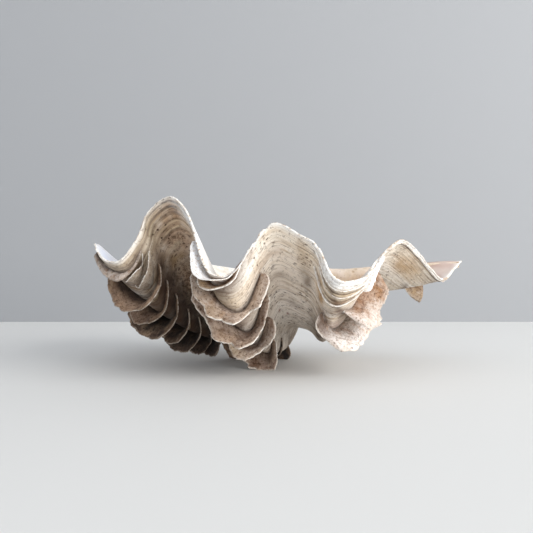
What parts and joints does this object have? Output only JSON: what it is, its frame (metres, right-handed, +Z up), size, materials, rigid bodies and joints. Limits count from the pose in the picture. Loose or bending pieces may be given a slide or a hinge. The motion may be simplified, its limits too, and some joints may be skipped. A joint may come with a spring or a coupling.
{
  "type": "clam shell",
  "caption": "Half shell of a fluted giant clam, hollow side up: a thick bowl with a deeply waved rim and leaf-like scales on its ribs, which it stands on.",
  "frame": {"origin": "centre of the bounding box on the plane that the scales stand on", "axes": "+X along the shell's length, to the right when its waved rim faces the viewer; +Y from the waved rim towards the hinge; +Z up, out of the hollow"},
  "size_m": [0.3022, 0.2137, 0.1338],
  "materials": {
    "weathered_shell": "weathered, chalky cream with tan and brown growth bands, whiter at the rim, matt"
  },
  "bodies": {
    "root": {"clam_shell": "weathered_shell"}
  },
  "joints": []
}
